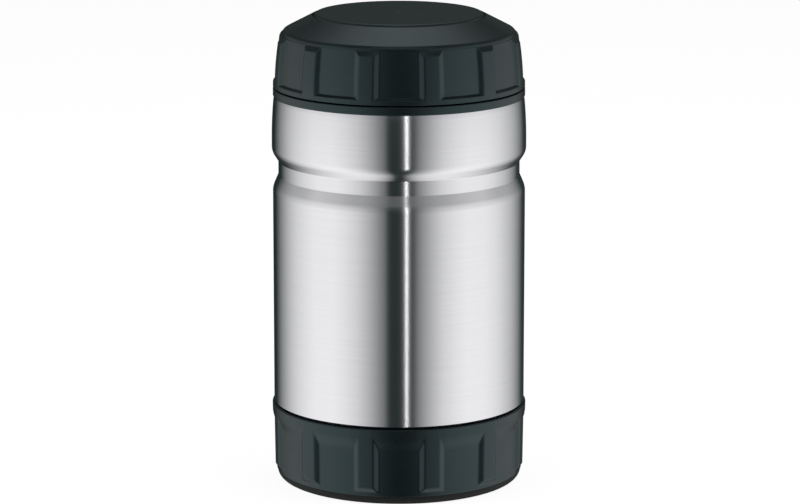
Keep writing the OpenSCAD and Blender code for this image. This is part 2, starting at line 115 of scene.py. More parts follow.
# ---------------------------------------------------------------- outlines


def arc(centre: Point, radius: float, start: float, end: float, steps: int = 6) -> Outline:
    """Lists the points of an arc.

    Args:
        centre: Middle of the arc.
        radius: Radius of the arc.
        start: Angle of the first point.
        end: Angle of the last point.
        steps: Number of straight pieces.

    Returns:
        The points, both ends included.
    """
    angles = np.radians(np.linspace(start, end, steps + 1))
    return [(centre[0] + radius * math.cos(a), centre[1] + radius * math.sin(a)) for a in angles]


def flank(wall: Point, corner: Point, bend: float, turn: float = 0.45, steps: int = 10) -> Outline:
    """Lists the points of a groove's flank: upright at the wall, bent, then straight to the floor.

    Args:
        wall: Where the flank leaves the wall.
        corner: Where it meets the groove's floor.
        bend: Height of the bend at the wall.
        turn: Radius of the corner.
        steps: Number of straight pieces in the bend.

    Returns:
        The points from the wall down to the rounded corner.
    """
    up = 1 if corner[1] > wall[1] else -1
    slope = (wall[0] - corner[0]) / (abs(corner[1] - wall[1]) - bend / 2)
    reach = np.linspace(0, bend, steps + 1)
    bent = [(wall[0] - slope * u * u / (2 * bend), wall[1] + up * u) for u in reach]
    foot = [(*bent[-1], 0), (*corner, turn), (corner[0], corner[1] + up, 0)]
    return bent[:-1] + rounded(foot)[:-1]


def soft_step(low: Point, high: Point, steps: int = 16) -> Outline:
    """Lists the points of a soft S between two upright stretches of a wall.

    Args:
        low: Lower end.
        high: Upper end.
        steps: Number of straight pieces.

    Returns:
        The points, both ends included.
    """
    shares = np.linspace(0, 1, steps + 1)
    return [
        (low[0] + (high[0] - low[0]) * (1 - math.cos(math.pi * t)) / 2, low[1] + (high[1] - low[1]) * t)
        for t in shares
    ]


def rounded(corners: Sequence[Triple], steps: int = 4) -> Outline:
    """Rounds the corners of an outline.

    Args:
        corners: Radius from the axis, height and corner radius of each corner, in order.
        steps: Number of straight pieces in each rounded corner.

    Returns:
        The points of the rounded outline. The first and last corners stay sharp.
    """
    made: Outline = [(corners[0][0], corners[0][1])]
    for before, corner, after in zip(corners, corners[1:], corners[2:]):
        if corner[2] <= 0:
            made.append((corner[0], corner[1]))
            continue
        here = np.array(corner[:2])
        back, ahead = np.array(before[:2]) - here, np.array(after[:2]) - here
        reach_back, reach_ahead = np.linalg.norm(back), np.linalg.norm(ahead)
        back, ahead = back / reach_back, ahead / reach_ahead
        half = math.acos(max(-1.0, min(1.0, float(back @ ahead)))) / 2
        cut = min(corner[2] / math.tan(half), 0.49 * reach_back, 0.49 * reach_ahead)
        for t in np.linspace(0, 1, steps + 1):
            point = here + back * cut * (1 - t) ** 2 + ahead * cut * t**2
            made.append((float(point[0]), float(point[1])))
    made.append((corners[-1][0], corners[-1][1]))
    return made


def between(ends: Point, shares: Sequence[float]) -> list[float]:
    """Lists values between two ends.

    Args:
        ends: Low and high end.
        shares: How far along each value lies, from 0 to 1, or a little past an end.

    Returns:
        The values.
    """
    return [ends[0] + (ends[1] - ends[0]) * t for t in shares]


def ramp(value: np.ndarray, low: float, high: float, knee: float = 0.2) -> np.ndarray:
    """Rises from 0 at low to 1 at high along a straight flank with rounded knees.

    Args:
        value: Where to measure.
        low: Lower end of the flank.
        high: Upper end of the flank.
        knee: Reach of each rounding, as a share of the flank.

    Returns:
        The height at each value, from 0 to 1.
    """
    t = (value - low) / (high - low)
    straight = np.clip(t, 0, 1)
    foot = (t + knee) ** 2 / (4 * knee)
    head = 1 - (1 + knee - t) ** 2 / (4 * knee)
    made = np.where(np.abs(t) < knee, foot, straight)
    return np.where(np.abs(t - 1) < knee, head, made)


# ---------------------------------------------------------------- meshes


def turned(outline: Outline, angles: np.ndarray, lift: Lift | None = None, lifted: int = 0) -> np.ndarray:
    """Turns an outline round the axis.

    Args:
        outline: Radius and height of each point.
        angles: Where round the axis a column of points stands.
        lift: What the outer points gain in radius, by angle and height.
        lifted: How many of the first points have that gain.

    Returns:
        Points with the shape (angles, outline, 3).
    """
    r, z = (np.repeat(np.array([side], dtype=float), len(angles), axis=0) for side in zip(*outline))
    if lift is not None:
        r[:, :lifted] += lift(angles[:, None], z[:, :lifted])
    turn = np.radians(angles)[:, None]
    return np.stack([r * np.cos(turn), r * np.sin(turn), z], axis=2)


def even(count: int) -> np.ndarray:
    """Returns evenly spaced angles round the axis."""
    return np.linspace(0, 360, count, endpoint=False)


def stand(name: str, data: bpy.types.ID) -> Piece:
    """Makes an object and puts it in the scene.

    Args:
        name: Name of the object.
        data: Its mesh, lamp or camera.

    Returns:
        The object.
    """
    made = bpy.data.objects.new(name, data)
    bpy.context.scene.collection.objects.link(made)
    return made


def even_normals(piece: Piece) -> None:
    """Adds the modifier that evens the shading over small faces."""
    piece.modifiers.new("even_normals", "WEIGHTED_NORMAL").keep_sharp = True


class Skin:
    """Gathers the closed surfaces of one piece and makes its mesh."""

    def __init__(self) -> None:
        """Starts with no surface."""
        self.points: list[np.ndarray] = []
        self.faces: list[tuple[int, ...]] = []
        self.count = 0

    def grid(self, rows: np.ndarray, ends: Ends = Ends.AROUND) -> Skin:
        """Adds one closed surface.

        Args:
            rows: Points with the shape (rows, points in a row, 3).
            ends: How the first and last rows are joined or closed.

        Returns:
            This skin, for the next surface.
        """
        n, k = rows.shape[:2]
        poles = np.allclose(rows[:, [0, -1], :2], 0)
        base = self.count
        for i in range(n if ends is Ends.AROUND else n - 1):
            here, there = base + i * k, base + (i + 1) % n * k
            for j in range(k - 1 if poles else k):
                after = (j + 1) % k
                self.faces.append((here + j, there + j, there + after, here + after))
        if ends is Ends.CAPPED:
            self.faces.append(tuple(base + j for j in range(k)))
            self.faces.append(tuple(base + (n - 1) * k + j for j in reversed(range(k))))
        self.points.append(rows.reshape(-1, 3))
        self.count += n * k
        return self

    def piece(self, name: str, crease: float = 38) -> Piece:
        """Makes the object.

        Args:
            name: Name of the piece.
            crease: Angle over which an edge stays sharp.

        Returns:
            The new object, in the scene.
        """
        mesh = bpy.data.meshes.new(name)
        mesh.from_pydata((np.concatenate(self.points) * MM).tolist(), [], self.faces)
        shape = bmesh.new()
        shape.from_mesh(mesh)
        bmesh.ops.remove_doubles(shape, verts=shape.verts, dist=1e-7)
        bmesh.ops.recalc_face_normals(shape, faces=shape.faces)
        shape.to_mesh(mesh)
        shape.free()
        mesh.shade_smooth()
        mesh.set_sharp_from_angle(angle=math.radians(crease))
        made = stand(name, mesh)
        even_normals(made)
        return made


def lathe(outline: Outline, columns: int) -> Skin:
    """Starts a skin with one outline turned round the axis.

    Args:
        outline: Radius and height of each point.
        columns: Number of columns round the axis.

    Returns:
        The skin.
    """
    return Skin().grid(turned(outline, even(columns)))


def soften(node: Piece, edge: float, crease: float = 30) -> None:
    """Rounds the edges of a carried-over node with modifiers, which leave its mesh alone.

    Args:
        node: The node's object.
        edge: Width of the rounding.
        crease: Angle over which an edge is rounded.
    """
    node.modifiers.new("weld", "WELD").merge_threshold = 1e-6
    bevel = node.modifiers.new("edges", "BEVEL")
    bevel.width = edge * MM
    bevel.segments = 2
    bevel.limit_method = "ANGLE"
    bevel.angle_limit = math.radians(crease)
    bevel.use_clamp_overlap = True
    bevel.harden_normals = False
    even_normals(node)


@dataclass(frozen=True)
class Thread:
    """A thread of several short ridges with rounded crests, sunk a little into its wall."""

    wall: float
    crest: float
    height: float
    span: float
    lag: float = 0
    starts: int = 4
    lead: float = 16
    crest_w: float = 1.0
    crest_round: float = 0.28
    root_w: float = 1.6
    root_flare: float = 0.1
    bury: float = 0.3
    step: float = 2.5
    fade: int = 6

    def cut(self, skin: Skin) -> None:
        """Adds the ridges to a skin.

        Args:
            skin: The skin of the piece that carries the thread.
        """
        out = 1 if self.crest > self.wall else -1
        depth = abs(self.crest - self.wall)
        count = round(self.span / self.step)
        root = self.root_w / 2 + self.root_flare
        for start in range(self.starts):
            rows = []
            for i in range(count + 1):
                turn = i * self.step
                rise = math.sin(math.pi / 2 * min(1.0, i / self.fade, (count - i) / self.fade))
                # Both ends of a ridge lie just under the wall, so that it seems to run out.
                tip = self.bury + (depth * rise or -0.05)
                half = (self.crest_w + (self.root_w - self.crest_w) * (1 - rise) * 0.5) / 2
                crest = [(tip, half, self.crest_round), (tip, -half, self.crest_round)]
                ring = np.array(rounded([(0, root, 0), *crest, (0, -root, 0)], 3))
                r = self.wall - out * self.bury + out * ring[:, 0]
                angle = math.radians(self.lag + start * 360 / self.starts + turn)
                z = self.height + self.lead * turn / 360 + ring[:, 1]
                rows.append(np.stack([r * math.cos(angle), r * math.sin(angle), z], axis=1))
            skin.grid(np.array(rows), Ends.CAPPED)


@dataclass(frozen=True)
class Bars:
    """Raised bars round a side, with wide flat panels between them.

    Widths are angles, the rise is a height over the panels and the knee is a share of the flank.
    """

    count: int = 12
    width: float = 9.4
    rise: float = 1.3
    flank: float = 2.3
    knee: float = 0.15

    @property
    def pitch(self) -> float:
        """Returns the angle from one bar to the next."""
        return 360 / self.count

    @property
    def edge(self) -> float:
        """Returns the angle from the middle of a panel to the middle of its flank."""
        return (self.pitch - self.width) / 2

    def columns(self) -> np.ndarray:
        """Lists the angles that a side needs for crisp flanks.

        Returns:
            The angles, the first at the middle of a panel.
        """
        shares = [-0.35, -0.17, 0, 0.18, 0.35, 0.5, 0.65, 0.82, 1, 1.17, 1.35]
        flank = [self.edge + (t - 0.5) * self.flank for t in shares]
        half = [0, 3, 6, 8, *flank, 12.8, self.pitch / 2]
        period = np.array(half + [self.pitch - a for a in reversed(half[1:-1])])
        return np.concatenate([period + self.pitch * i for i in range(self.count)])

    def bar(self, angle: np.ndarray) -> np.ndarray:
        """Tells how far up the bars' flanks each angle lies.

        Args:
            angle: Where to measure, round the axis.

        Returns:
            The height, from 0 on a panel to 1 on a bar.
        """
        off = self.pitch / 2 - np.abs(np.mod(angle, self.pitch) - self.pitch / 2)
        return ramp(off, self.edge - self.flank / 2, self.edge + self.flank / 2, self.knee)


# ---------------------------------------------------------------- finishes


def linear(code: str) -> Colour:
    """Turns an sRGB hex colour to linear light.

    Args:
        code: Colour such as "#1C2021".

    Returns:
        Red, green, blue and an alpha of 1.
    """
    shares = [int(code[i : i + 2], 16) / 255 for i in (1, 3, 5)]
    red, green, blue = (c / 12.92 if c <= 0.04045 else ((c + 0.055) / 1.055) ** 2.4 for c in shares)
    return red, green, blue, 1.0


def add(
    tree: Tree, kind: str, inputs: dict[str | int, Value] | None = None, **settings: str | float | bool
) -> Node:
    """Adds a node with its settings and links.

    Args:
        tree: Node tree that gets the node.
        kind: Blender's name of the node.
        inputs: Value, or socket to link, for each input.
        settings: Properties of the node.

    Returns:
        The new node.
    """
    node = tree.nodes.new(kind)
    for name, value in settings.items():
        setattr(node, name, value)
    for name, value in (inputs or {}).items():
        if isinstance(value, Socket):
            tree.links.new(value, node.inputs[name])
        else:
            node.inputs[name].default_value = value
    return node


def blank(owner: bpy.types.Material | bpy.types.World) -> Tree:
    """Empties the node tree of a new material or world.

    Args:
        owner: The material or world.

    Returns:
        Its node tree.
    """
    owner.use_nodes = True
    owner.node_tree.nodes.clear()
    return owner.node_tree


@dataclass(frozen=True)
class Pattern:
    """A noise with a real grain size, and what it moves in a finish."""

    size: Triple  # length of a grain along X, Y and Z
    detail: float = 2  # number of finer layers
    relief: float = 0  # height of its bumps
    spread: float = 0  # furthest change of the roughness, to both sides
    tones: tuple[str, str] | None = None  # colours where the noise is low and where it is high


@dataclass(frozen=True)
class Finish:
    """A material, from what it is and how its surface was made."""

    name: str
    colour: str
    roughness: float
    metallic: float = 0.0
    ior: float = 1.5
    tint: str = "#FFFFFF"  # colour of its gloss
    smear: float = 0.0  # how far fine marks round the axis smear its gloss up and down
    milk: float = 0.0  # share of the light that spreads inside it
    patterns: tuple[Pattern, ...] = ()

    def material(self) -> bpy.types.Material:
        """Makes the material, or finds it if it is made already.

        Returns:
            The material.
        """
        made = bpy.data.materials.get(self.name)
        if made is not None:
            return made
        made = bpy.data.materials.new(self.name)
        made.diffuse_color = linear(self.colour)
        tree = blank(made)
        looks = {
            "Base Color": linear(self.colour),
            "Roughness": self.roughness,
            "Metallic": self.metallic,
            "IOR": self.ior,
            "Specular Tint": linear(self.tint),
        }
        if self.smear:
            along = add(tree, "ShaderNodeTangent", direction_type="RADIAL", axis="Z").outputs[0]
            looks |= {"Tangent": along, "Anisotropic": self.smear, "Anisotropic Rotation": 0.25}
        if self.milk:
            looks |= {"Subsurface Weight": self.milk, "Subsurface Scale": 1 * MM}
        shader = add(tree, "ShaderNodeBsdfPrincipled", looks)
        add(tree, "ShaderNodeOutputMaterial", {"Surface": shader.outputs["BSDF"]})
        self.dress(tree, shader)
        return made

    def dress(self, tree: Tree, shader: Node) -> None:
        """Adds the surface's patterns.

        Args:
            tree: The material's node tree.
            shader: Its Principled shader.
        """
        for pattern in self.patterns:
            self.lay(tree, shader, pattern)

    def lay(self, tree: Tree, shader: Node, pattern: Pattern) -> None:
        """Adds one pattern, and lets it move the tone, the roughness and the slope of the surface.

        Args:
            tree: The material's node tree.
            shader: Its Principled shader.
            pattern: The pattern.
        """
        place = add(tree, "ShaderNodeTexCoord").outputs["Object"]
        scale = [1 / (s * MM) for s in pattern.size]
        spread = add(tree, "ShaderNodeMapping", {"Vector": place, "Scale": scale}, vector_type="POINT")
        sizes = {"Vector": spread.outputs[0], "Scale": 1.0, "Detail": pattern.detail}
        noise = add(tree, "ShaderNodeTexNoise", sizes).outputs["Fac"]
        if pattern.tones:
            tones = {"Factor": noise, 6: linear(pattern.tones[0]), 7: linear(pattern.tones[1])}
            tone = add(tree, "ShaderNodeMix", tones, data_type="RGBA")
            tree.links.new(tone.outputs[2], shader.inputs["Base Color"])
        if pattern.spread:
            reach = {"From Min": 0.3, "From Max": 0.7, "To Min": self.roughness - pattern.spread}
            reach |= {"Value": noise, "To Max": self.roughness + pattern.spread}
            change = add(tree, "ShaderNodeMapRange", reach)
            tree.links.new(change.outputs[0], shader.inputs["Roughness"])
        if pattern.relief:
            slope = {"Height": noise, "Distance": pattern.relief * MM, "Strength": 1.0}
            tree.links.new(add(tree, "ShaderNodeBump", slope).outputs[0], shader.inputs["Normal"])


@dataclass(frozen=True)
class BrushedSteel(Finish):
    """304 stainless tube, belt brushed round its axis and degreased.

    The scratches run round the jar, so lamps smear up and down it and stay narrow from side to side.
    """

    name: str = "stainless_steel_belt_brushed"
    colour: str = "#CDCCCF"
    roughness: float = 0.2
    metallic: float = 1.0
    smear: float = 0.93
    # Real scratches are about 0.05 mm wide: drawn 0.36 mm so that they show.
    patterns: tuple[Pattern, ...] = (
        Pattern((0.6, 0.6, 0.36), 3, relief=0.004),
        Pattern((40, 40, 0.8), tones=("#CAC9CC", "#D0CFD2")),
    )


@dataclass(frozen=True)
class SpunSteel(Finish):
    """304 stainless, deep drawn and spun: satin and slightly milky, with faint rings from the tool."""

    name: str = "stainless_steel_spun_satin"
    colour: str = "#C2C4C6"
    roughness: float = 0.3
    metallic: float = 1.0
    smear: float = 0.5
    patterns: tuple[Pattern, ...] = (
        Pattern((30, 30, 0.6), relief=0.004),
        Pattern((9, 9, 9), spread=0.04),
    )


@dataclass(frozen=True)
class MouldedPlastic(Finish):
    """Polypropylene, injection moulded in a spark-eroded steel mould.

    The fine even grain of the mould gives a silky sheen that spreads lamps softly, and the melt
    leaves faint flow marks.
    """

    name: str = "polypropylene_moulded"
    colour: str = "#0D1314"
    roughness: float = 0.28
    ior: float = 1.46
    tint: str = "#D0F4F9"
    # Real grain is about 0.05 mm: drawn 0.5 mm so that it shows.
    patterns: tuple[Pattern, ...] = (
        Pattern((0.5, 0.5, 0.5), relief=0.004),
        Pattern((22, 22, 14), spread=0.03),
    )


@dataclass(frozen=True)
class PolishedPlastic(Finish):
    """Polypropylene from a polished mould: an even gloss with slow waves from shrinkage and fine scuffs."""

    name: str = "polypropylene_polished"
    colour: str = "#54595B"
    roughness: float = 0.2
    ior: float = 1.49
    patterns: tuple[Pattern, ...] = (
        Pattern((12, 12, 12), 1, relief=0.01),
        Pattern((1.2, 1.2, 6), 3, spread=0.05),
    )


@dataclass(frozen=True)
class FootRubber(Finish):
    """Thermoplastic rubber, moulded: nearly black and dull, with pores and a faint uneven bloom."""

    name: str = "tpe_rubber_moulded_black"
    colour: str = "#090A0B"
    roughness: float = 0.7
    ior: float = 1.35
    # Real pores are about 0.1 mm: drawn 0.4 mm so that they show.
    patterns: tuple[Pattern, ...] = (
        Pattern((7, 7, 7), 3, tones=("#070808", "#0C0E0E")),
        Pattern((0.4, 0.4, 0.4), relief=0.02),
    )


@dataclass(frozen=True)
class Silicone(Finish):
    """Food silicone, press moulded: milky and slightly see-through, with a damp sheen on a soft skin."""

    name: str = "silicone_pressed_milky"
    colour: str = "#CDD1D0"
    roughness: float = 0.42
    ior: float = 1.41
    milk: float = 0.25
    patterns: tuple[Pattern, ...] = (
        Pattern((3, 3, 3), spread=0.05),
        Pattern((0.6, 0.6, 0.6), relief=0.005),
    )


@dataclass(frozen=True)
class InsulatingFoam(Finish):
    """Polystyrene foam, steam moulded from beads: dull cream with the outlines of its beads."""

    name: str = "eps_foam_moulded"
    colour: str = "#E4E0D2"
    roughness: float = 0.85
    bead: float = 2.0
    dent: float = 0.12
    patterns: tuple[Pattern, ...] = (Pattern((5, 5, 5), tones=("#DDD8C8", "#EAE7DC")),)

    def dress(self, tree: Tree, shader: Node) -> None:
        """Adds the beads and the dents between them to the patterns.

        Args:
            tree: The material's node tree.
            shader: Its Principled shader.
        """
        place = add(tree, "ShaderNodeTexCoord").outputs["Object"]
        size = {"Vector": place, "Scale": 1 / (self.bead * MM)}
        beads = add(tree, "ShaderNodeTexVoronoi", size, feature="DISTANCE_TO_EDGE").outputs["Distance"]
        slope = {"Height": beads, "Distance": self.dent * MM, "Strength": 0.8}
        tree.links.new(add(tree, "ShaderNodeBump", slope).outputs[0], shader.inputs["Normal"])
        super().dress(tree, shader)


@dataclass(frozen=True)
class CopperedFoil(Finish):
    """Aluminium foil with a warm lacquer, wrapped by hand: bright, with soft creases."""

    name: str = "aluminium_foil_lacquered"
    colour: str = "#D9B8A0"
    roughness: float = 0.22
    metallic: float = 1.0
    patterns: tuple[Pattern, ...] = (
        Pattern((6, 6, 9), 4, relief=0.25),
        Pattern((2, 2, 2), spread=0.06),
    )


@dataclass(frozen=True)
class GetterPill(Finish):
    """Zirconium powder, pressed to a pill: dark grey, dull and grainy."""

    name: str = "zirconium_powder_pressed"
    colour: str = "#43454A"
    roughness: float = 0.6
    metallic: float = 0.7
    # Real powder is about 0.05 mm: drawn 0.3 mm so that it shows.
    patterns: tuple[Pattern, ...] = (
        Pattern((0.3, 0.3, 0.3), 3, relief=0.05, tones=("#34363A", "#55585E")),
    )


@dataclass(frozen=True)
class SealingResin(Finish):
    """Glass-filled sealing resin, set in place: cloudy amber grey with a smooth poured skin."""

    name: str = "epoxy_resin_poured"
    colour: str = "#B9AC93"
    roughness: float = 0.3
    ior: float = 1.55
    patterns: tuple[Pattern, ...] = (
        Pattern((1.5, 1.5, 1.5), 3, tones=("#A99B80", "#C6BAA3")),
        Pattern((2.5, 2.5, 2.5), 1, relief=0.04),
    )


@dataclass(frozen=True)
class SpringWire(Finish):
    """Spring steel wire, hard drawn and passivated: bright, with drawing lines under a faint oil film."""

    name: str = "spring_steel_drawn"
    colour: str = "#C4C5C6"
    roughness: float = 0.18
    metallic: float = 1.0
    # Real drawing lines are about 0.02 mm wide: drawn 0.2 mm so that they show.
    patterns: tuple[Pattern, ...] = (Pattern((0.8, 0.8, 0.2), 3, spread=0.06),)


ANTHRACITE = MouldedPlastic(name="polypropylene_moulded_anthracite")
LID_PLATE = MouldedPlastic(name="polypropylene_moulded_plate", roughness=0.34)
STOPPER_GREY = MouldedPlastic(name="polypropylene_moulded_grey", colour="#3F4446", tint="#FFFFFF")
LINER_GREY = PolishedPlastic()
BUTTON_GREY = PolishedPlastic(name="polypropylene_polished_light_grey", colour="#94989A", roughness=0.26)
JACKET_STEEL = BrushedSteel()
VESSEL_STEEL = SpunSteel()


def dress(piece: Piece, finish: Finish, body: Body, slot: Slot, *nodes: str) -> Piece:
    """Gives a new piece its finish, its body and the nodes that it stands for.

    Args:
        piece: The new object.
        finish: Its finish.
        body: The body that it moves with.
        slot: The record's slot for its finish. It is not used.
        nodes: Names of the nodes that it replaces.

    Returns:
        The same object.
    """
    piece.data.materials.clear()
    piece.data.materials.append(finish.material())
    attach(piece, body.value)
    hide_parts(*nodes)
    return piece


def carry(nodes: Nodes, name: str, finish: Finish) -> Piece:
    """Gives a node that keeps its shape a better finish.

    Args:
        nodes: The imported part's nodes.
        name: The node's name.
        finish: Its finish.

    Returns:
        The node's object.
    """
    node = nodes[name]
    if not node.material_slots:
        node.data.materials.append(None)
    for place in node.material_slots:
        place.material = finish.material()
    return node


# ---------------------------------------------------------------- sub-assemblies


@dataclass
class SteelBody:
    """The double steel wall: jacket, food vessel and what is sealed in between them."""

    side: float = 50.0
    wall: float = 0.6
    step_r: float = 47.2
    foot_z: float = 6.2
    step_z: float = 31.2
    step_edge: float = 0.8
    groove_r: float = 47.8
    low_flank: Point = (116.5, 123.1)
    high_flank: Point = (128.9, 134.3)
    bend: float = 3.0
    bulge: float = 0.36
    draw_in: float = 0.85
    draw_z: float = 137.3
    roll_in: float = 0.15
    top_z: float = 154.5
    shoulder: float = 0.9
    neck_r: float = 43.5
    neck_z: float = 168.1
    neck_foot: float = 1.2
    lip_z: float = 168.6
    vessel_r: float = 44.7
    mouth_r: float = 42.0
    vessel_wall: float = 0.5
    vessel_z: float = 10.5
    floor_round: float = 7.5
    floor_rings: Points = (
        *((29.5, 0), (29.0, 0.1), (28.3, 0.32), (27.5, 0.35), (26.7, 0.32), (26.0, 0.1), (25.5, 0)),
        *((9.0, 0), (8.4, 0.1), (7.6, 0.3), (6.8, 0.34), (3, 0.35), (0, 0.35)),
    )
    flare: Point = (134.0, 139.0)
    thread: Thread = Thread(wall=42.0, crest=40.9, height=152.0, span=120)

    def jacket_side(self, inset: float) -> Outline:
        """Lists the jacket's side above the base.

        Args:
            inset: How far the outline lies inside the outer face.

        Returns:
            The points from bottom to top.
        """
        out, groove, top = self.side - inset, self.groove_r - inset, self.side + self.bulge - inset
        rise = [*np.linspace(0, 0.9, 11)[1:], *np.linspace(0.9, 1, 7)[1:]]
        drawn = [self.draw_in * t * t + self.roll_in * max(0.0, 10 * t - 9) ** 2 for t in rise]
        return [
            (out, self.step_z + self.step_edge),
            *flank((out, self.low_flank[0]), (groove, self.low_flank[1]), self.bend),
            *flank((top, self.high_flank[1]), (groove, self.high_flank[0]), self.bend)[::-1],
            (top, self.draw_z),
            *[(top - d, self.draw_z + (self.top_z - self.draw_z) * t) for d, t in zip(drawn, rise)],
        ]

    def jacket(self) -> Piece:
        """Makes the brushed jacket.

        Returns:
            The piece.
        """
        top_r = self.side + self.bulge - self.draw_in - self.roll_in
        shoulder_z, round_r = self.top_z + self.shoulder, top_r - self.shoulder
        edge_r, neck_foot = self.side - self.step_edge, shoulder_z + self.neck_foot
        foot = [(self.step_r, self.foot_z, 0), (self.step_r, self.step_z, 0.5)]
        foot += [(edge_r, self.step_z, 0.3), (self.side, self.step_z + self.step_edge, 0)]
        neck = [(round_r, shoulder_z, 0), (self.neck_r + 0.6, shoulder_z, 0.5)]
        neck += [(self.neck_r, neck_foot, 0.5), (self.neck_r, self.neck_z, 0)]
        outside = [
            *rounded(foot)[:-1],
            *self.jacket_side(0),
            *arc((round_r, self.top_z), self.shoulder, 10, 80),
            *rounded(neck),
        ]
        step_in, thin = self.step_r - self.wall, self.wall
        inside = [
            (step_in, self.foot_z),
            (step_in, self.step_z + thin),
            (edge_r - thin, self.step_z + thin),
            *self.jacket_side(thin),
            (round_r, shoulder_z - thin),
            (self.neck_r + self.neck_foot - thin, shoulder_z - thin),
            (self.neck_r - thin, neck_foot - thin),
            (self.neck_r - thin, self.neck_z),
        ]
        piece = lathe(outside + inside[::-1], 256).piece("steel_jacket")
        return dress(piece, JACKET_STEEL, Body.JAR, Slot.BRUSHED_STEEL, "outer_shell")

    def vessel(self) -> Piece:
        """Makes the food vessel with its neck thread and a spun floor.

        Returns:
            The piece.
        """
        wall, low, r = self.vessel_wall, self.vessel_z, self.vessel_r
        bend, floor = self.floor_round, low + wall
        corner = (r - bend - wall, low + bend + wall)
        neck_out = self.mouth_r + wall
        outside = [
            (0, low),
            *arc(corner, bend + wall, -90, 0, 10),
            *soft_step((r, self.flare[0]), (neck_out, self.flare[1])),
            (neck_out, self.neck_z),
            (self.neck_r, self.neck_z),
        ]
        lip = arc((self.neck_r - 0.25, self.lip_z - 0.25), 0.25, 0, 90, 4)
        lip += arc((self.mouth_r + 0.3, self.lip_z - 0.3), 0.3, 90, 180, 4)
        inside = [
            *soft_step((r - wall, self.flare[0]), (self.mouth_r, self.flare[1]))[::-1],
            *arc(corner, bend, 0, -90, 10),
            *[(ring, floor + up) for ring, up in self.floor_rings],
        ]
        skin = lathe(outside + lip + inside, 192)
        self.thread.cut(skin)
        nodes = ("inner_vessel", "inner_bottom")
        return dress(skin.piece("food_vessel"), VESSEL_STEEL, Body.JAR, Slot.PLAIN_STEEL, *nodes)

    def build(self, nodes: Nodes) -> list[Piece]:
        """Makes the pieces of the steel body.

        Args:
            nodes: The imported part's nodes.

        Returns:
            The pieces.
        """
        return [
            self.jacket(),
            self.vessel(),
            carry(nodes, "outer_bottom", VESSEL_STEEL),
            carry(nodes, "reflector_foil", CopperedFoil()),
            carry(nodes, "getter", GetterPill()),
            carry(nodes, "vacuum_seal", SealingResin()),
        ]


@dataclass
class NeckCollar:
    """The plastic ring on the steel shoulder, with the lid's thread on its sleeve."""

    side: float = 49.8
    bore: float = 43.6
    sleeve: float = 45.2
    band_z: Point = (154.5, 158.0)
    sleeve_z: float = 167.8
    under_z: float = 155.5
    under_round: float = 1.19
    under_slope: float = 1.2
    thread: Thread = Thread(wall=45.2, crest=46.3, height=160.4, span=120)

    def build(self, nodes: Nodes) -> list[Piece]:
        """Makes the collar and dresses the ring under it.

        Args:
            nodes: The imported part's nodes.

        Returns:
            The pieces.
        """
        low, high = self.band_z
        round_r, slope = self.side - self.under_round, self.under_slope
        corners = [
            (self.bore, self.under_z + slope, 0),
            (self.bore + slope, self.under_z, 0.3),
            (round_r, self.under_z, 0),
        ]
        under = arc((round_r, low), 1.0, 85, 12)
        band = [
            (self.side - 0.2, low + 0.2, 0),
            (self.side, low + 0.5, 0.3),
            (self.side, high, 0.45),
            (self.sleeve, high, 0.5),
            (self.sleeve, self.sleeve_z, 0.5),
            (self.bore, self.sleeve_z, 0.25),
            (self.bore, self.under_z + slope, 0),
        ]
        skin = lathe(rounded(corners) + under + rounded(band)[:-1], 256)
        self.thread.cut(skin)
        piece = dress(skin.piece("neck_collar"), ANTHRACITE, Body.JAR, Slot.DARK_PLASTIC, "collar")
        return [piece, carry(nodes, "collar_seal", Silicone())]


